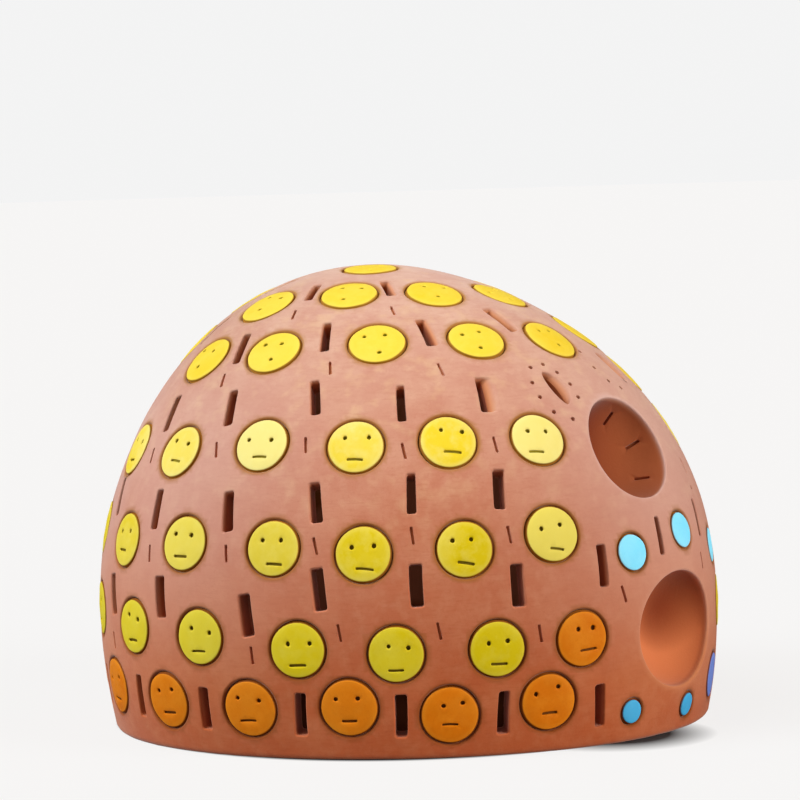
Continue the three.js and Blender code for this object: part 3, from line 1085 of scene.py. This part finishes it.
def spread(tree, value, low, high, to_low=0.0, to_high=1.0):
    node = add_node(tree, "ShaderNodeMapRange")
    tree.links.new(value, node.inputs["Value"])
    for name, number in zip(("From Min", "From Max", "To Min", "To Max"), (low, high, to_low, to_high)):
        node.inputs[name].default_value = number
    return node.outputs["Result"]


def patches(tree, place, size, detail=3.0, roughness=0.55):
    node = add_node(tree, "ShaderNodeTexNoise", Scale=1 / size, Detail=detail, Roughness=roughness)
    tree.links.new(place, node.inputs["Vector"])
    return node.outputs["Fac"]


def read_mark(tree, name):
    """A number kept at the points of a piece."""
    return add_node(tree, "ShaderNodeAttribute", attribute_name=name).outputs["Fac"]


def place_on(tree):
    return add_node(tree, "ShaderNodeTexCoord").outputs["Object"]


def mottled_clay_group():
    """Soft patches of paler and deeper clay over a base colour, and a fine grain as a height."""
    group = bpy.data.node_groups.new("mottled_clay", "ShaderNodeTree")
    for side, name, kind in (
            ("INPUT", "Place", "Vector"), ("INPUT", "Base", "Color"), ("INPUT", "Pale", "Color"),
            ("INPUT", "Deep", "Color"), ("INPUT", "Patch Strength", "Float"),
            ("OUTPUT", "Color", "Color"), ("OUTPUT", "Grain", "Float")):
        group.interface.new_socket(name, in_out=side, socket_type="NodeSocket" + kind)
    start = group.nodes.new("NodeGroupInput")
    end = group.nodes.new("NodeGroupOutput")
    place = start.outputs["Place"]
    broad = spread(group, patches(group, place, 22 * MM), 0.42, 0.68)
    small = spread(group, patches(group, place, 4.5 * MM), 0.45, 0.75)
    deep = spread(group, patches(group, place, 9 * MM), 0.5, 0.75)

    def scaled(value):
        node = add_node(group, "ShaderNodeMath", operation="MULTIPLY")
        group.links.new(value, node.inputs[0])
        group.links.new(start.outputs["Patch Strength"], node.inputs[1])
        return node.outputs[0]

    colour = mix_colour(group, scaled(broad), start.outputs["Base"], start.outputs["Pale"])
    colour = mix_colour(group, scaled(deep), colour, start.outputs["Deep"])
    colour = mix_colour(group, scaled(small), colour, start.outputs["Pale"])
    grain = patches(group, place, 1.1 * MM, 4.0, 0.7)
    specks = spread(group, grain, 0.52, 0.72, 0.0, 0.6)
    colour = mix_colour(group, scaled(specks), colour, start.outputs["Deep"])
    group.links.new(colour, end.inputs["Color"])
    group.links.new(grain, end.inputs["Grain"])
    return group


def clay_material(name, strength, roughness, grain):
    """A mottled clay whose three tones are still to be given: its material, tree, shader and clay node."""
    material = bpy.data.materials.new(name)
    material.use_nodes = True
    tree = material.node_tree
    skin = tree.nodes["Principled BSDF"]
    clay = tree.nodes.new("ShaderNodeGroup")
    clay.node_tree = mottled_clay
    clay.inputs["Patch Strength"].default_value = strength
    tree.links.new(place_on(tree), clay.inputs["Place"])
    bump = add_node(tree, "ShaderNodeBump", Strength=0.6, Distance=grain)
    tree.links.new(clay.outputs["Grain"], bump.inputs["Height"])
    tree.links.new(bump.outputs["Normal"], skin.inputs["Normal"])
    rough = spread(tree, clay.outputs["Grain"], 0.3, 0.7, roughness - 0.06, roughness + 0.06)
    tree.links.new(rough, skin.inputs["Roughness"])
    skin.inputs["Specular IOR Level"].default_value = dry_sheen
    return material, tree, skin, clay


def by_height(tree, tones):
    """The tone of the clay from the foot, over the shoulder, to the crown."""
    low, middle, high = tones
    height = height_of(tree)
    rise = mix_colour(tree, spread(tree, height, 25 * MM, 88 * MM), low, middle)
    return mix_colour(tree, spread(tree, height, 88 * MM, 175 * MM), rise, high)


def height_of(tree):
    split = add_node(tree, "ShaderNodeSeparateXYZ")
    tree.links.new(place_on(tree), split.inputs["Vector"])
    return split.outputs["Z"]


def disc_material(name, tones):
    """Coloured clay, paler towards its edge, with painted shade in its marks and the stain of the joint round
    it.
    """
    material, tree, skin, clay = clay_material(name, strength=0.4, roughness=0.55, grain=0.12 * MM)
    base, pale, deep, mark = tones
    for socket, tone in (("Base", base), ("Pale", pale), ("Deep", deep)):
        feed(tree, clay.inputs[socket], tone)
    out = read_mark(tree, "out")
    layers = [
        (read_mark(tree, "tone"), pale),
        (spread(tree, out, 0.8, 0.95, 0.0, 0.3), pale),
        # The pricked and scored marks: a darker tone of the clay, painted as shade in the pits
        (spread(tree, read_mark(tree, "below"), 0.15, 0.7), mark),
        (spread(tree, out, 0.965, 1.0), by_height(tree, ring_tones)),
    ]
    tree.links.new(layered(tree, clay.outputs["Color"], layers), skin.inputs["Base Color"])
    return material


def terracotta_material():
    """Mottled terracotta with wiped streaks and stains, fresh cuts with painted shade deep in them, painted
    sheen on the flanks and a painted highlight on the bowl rims, stains round the discs, and painted shade
    and light in the bowls.
    """
    material, tree, skin, clay = clay_material("terracotta", strength=0.5, roughness=0.82, grain=0.15 * MM)
    for socket, tones in terracotta_tones.items():
        feed(tree, clay.inputs[socket], by_height(tree, tones))
    stains = spread(tree, patches(tree, place_on(tree), 8 * MM, 2.0), 0.52, 0.72, 0.0, 0.4)
    stained = mix_colour(tree, stains, clay.outputs["Color"], ochre)
    wiped = add_node(tree, "ShaderNodeMapping", Scale=(1, 1, 6))
    tree.links.new(place_on(tree), wiped.inputs["Vector"])
    streaks = spread(tree, patches(tree, wiped.outputs["Vector"], 6 * MM), 0.5, 0.75, 0.0, 0.35)
    below = read_mark(tree, "below")
    # The floor of each bowl is painted from shade to light
    bowl_painted_shading = mix_colour(tree, read_mark(tree, "dark"), bowl_painted_light, bowl_painted_shade)
    layers = [
        (spread(tree, height_of(tree), 60 * MM, 130 * MM), stained),
        (streaks, by_height(tree, terracotta_tones["Deep"])),
        (spread(tree, below, *fresh_cut), by_height(tree, cut_tones)),
        # Painted shade deep in the cuts
        (spread(tree, below, *painted_cut_shade), by_height(tree, cut_shade_tones)),
        (spread(tree, below, *inside_wall), inner_wall),
        # Painted sheen on the flanks and a painted highlight on the bowl rims
        (read_mark(tree, "painted_sheen"), by_height(tree, painted_sheen_tones)),
        (spread(tree, read_mark(tree, "ring"), 0.0, 1.0, 0.0, 0.9), by_height(tree, ring_tones)),
        (spread(tree, read_mark(tree, "bowl"), 0.1, 0.8, 0.0, 0.97), bowl_painted_shading),
    ]
    tree.links.new(layered(tree, clay.outputs["Color"], layers), skin.inputs["Base Color"])
    skin.inputs["Sheen Weight"].default_value = 0.3
    skin.inputs["Sheen Roughness"].default_value = 0.45
    skin.inputs["Sheen Tint"].default_value = (*dust_tint, 1)
    return material


# The stage: a pale floor, soft light and the camera

view_turn = 54
camera_back = 1410.84 * MM
camera_aside = -5.14 * MM
camera_height = 228.3 * MM
camera_pitch = 4.06
camera_roll = -1.67
camera_lens = 155.93

backdrop_seen = 0.9
room_light = 0.17
floor_radius = 20
floor_seen = 0.07
floor_bounce = 0.3
floor_glow = 0.845
floor_glow_tint = (1, 0.985, 0.972)
# Painted shade on the floor inside the head: its tone, then the middle of its patch and where its edge starts
# and ends
painted_shade_under_head = (0.10, 0.03, 0.012)
painted_shade_under_head_reach = ((0, 0, 0), 108 * MM, 112 * MM)
# Painted shadow on the floor where the foot meets it, and in a patch towards the right front: the middle of
# each dark disc, to the right of the camera's line and away from it, and where its edge starts and ends
contact_shadows = [((-4 * MM, 2.5 * MM, 0), 117 * MM, 121 * MM), ((76 * MM, -72 * MM, 0), 21 * MM, 40 * MM)]
# Wide soft lights: strength, width, how far to the right of the camera and how high they stand, tint
soft_lights = [
    ("overhead", 1.8, 40, -70, 56, (1.0, 1.0, 1.0)),
    ("left_light", 1.94, 33, -74, 29, (0.82, 0.95, 1.1)),
    ("right_light", 2.58, 33, 63, 18, (1.0, 1.0, 1.0)),
]
hollow_glow = 0.02
hollow_glow_size = 20 * MM
hollow_glow_height = 70 * MM


def make_camera():
    camera = bpy.data.objects.new("camera", bpy.data.cameras.new("camera"))
    bpy.context.scene.collection.objects.link(camera)
    camera.data.lens = camera_lens
    camera.data.sensor_width = 36
    camera.data.clip_start = 0.05
    camera.data.clip_end = 100
    turn = Matrix.Translation((0, axis_y, 0)) @ Matrix.Rotation(math.radians(-view_turn), 4, "Z")
    stand = Matrix.Translation((camera_aside, -camera_back, camera_height))
    look = Matrix.Rotation(math.radians(90 - camera_pitch), 4, "X")
    camera.matrix_world = turn @ stand @ look @ Matrix.Rotation(math.radians(camera_roll), 4, "Z")
    bpy.context.scene.camera = camera


def make_soft_light(name, power, width, aside, up, tint):
    light = bpy.data.objects.new(name, bpy.data.lights.new(name, "SUN"))
    bpy.context.scene.collection.objects.link(light)
    light.data.energy = power
    light.data.angle = math.radians(width)
    light.data.color = tint
    turn = Matrix.Rotation(math.radians(-view_turn + aside), 3, "Z")
    towards = turn @ Matrix.Rotation(math.radians(-up), 3, "X") @ Vector((0, -1, 0))
    light.rotation_euler = (-towards).to_track_quat("-Z", "Y").to_euler()


def seen_or_lit(tree, seen, lit):
    """One brightness where the camera sees it and another where it throws light."""
    path = add_node(tree, "ShaderNodeLightPath")
    return spread(tree, path.outputs["Is Camera Ray"], 0, 1, lit, seen)


def floor_material():
    """Pale and evenly lit, with painted shade under the head and painted shadow where the foot meets the
    floor.
    """
    paint = bpy.data.materials.new("floor")
    paint.use_nodes = True
    tree = paint.node_tree
    skin = tree.nodes["Principled BSDF"]
    skin.inputs["Roughness"].default_value = 1.0
    skin.inputs["Specular IOR Level"].default_value = 0.0

    def clear_of(middle, start, end):
        """0 within start of a place on the floor, 1 beyond end."""
        away = add_node(tree, "ShaderNodeVectorMath", operation="DISTANCE")
        tree.links.new(place_on(tree), away.inputs[0])
        away.inputs[1].default_value = Matrix.Rotation(math.radians(-view_turn), 3, "Z") @ Vector(middle)
        return spread(tree, away.outputs["Value"], start, end)

    shade = seen_or_lit(tree, floor_seen, floor_bounce)
    # Painted shade under the head
    ground = mix_colour(tree, clear_of(*painted_shade_under_head_reach), painted_shade_under_head, shade)
    tree.links.new(ground, skin.inputs["Base Color"])
    glow = floor_glow_tint
    # Painted shadow: the glow is darkened round the foot and in the patch to the right front
    for contact in contact_shadows:
        glow = mix_colour(tree, clear_of(*contact), (0.0, 0.0, 0.0), glow)
    tree.links.new(glow, skin.inputs["Emission Color"])
    tree.links.new(seen_or_lit(tree, floor_glow, 0.0), skin.inputs["Emission Strength"])
    return paint


def make_floor():
    bpy.ops.object.select_all(action="DESELECT")
    bpy.ops.mesh.primitive_circle_add(vertices=96, radius=floor_radius, fill_type="NGON")
    floor = bpy.context.object
    floor.name = "floor"
    floor.data.materials.append(floor_material())


def make_air():
    """The pale backdrop that the camera sees, and the fainter light that it throws."""
    world = bpy.data.worlds.new("studio")
    bpy.context.scene.world = world
    world.use_nodes = True
    air = world.node_tree.nodes["Background"]
    air.inputs["Color"].default_value = (1, 1, 1, 1)
    glow = seen_or_lit(world.node_tree, backdrop_seen, room_light)
    world.node_tree.links.new(glow, air.inputs["Strength"])


def make_hollow_glow():
    """The faint light that falls into the hollow through its slots."""
    glow = bpy.data.objects.new("hollow", bpy.data.lights.new("hollow", "POINT"))
    bpy.context.scene.collection.objects.link(glow)
    glow.data.energy = hollow_glow
    glow.data.shadow_soft_size = hollow_glow_size
    glow.location = (0, 0, hollow_glow_height)


def make_stage():
    make_floor()
    make_air()
    for light in soft_lights:
        make_soft_light(*light)
    make_hollow_glow()
    bpy.context.scene.view_settings.view_transform = "Standard"


mottled_clay = mottled_clay_group()
disc_materials = {name: disc_material(name, tones) for name, tones in clays.items()}
discs = list_discs()
make_camera()
make_stage()
make_shell(discs)
make_discs(discs)
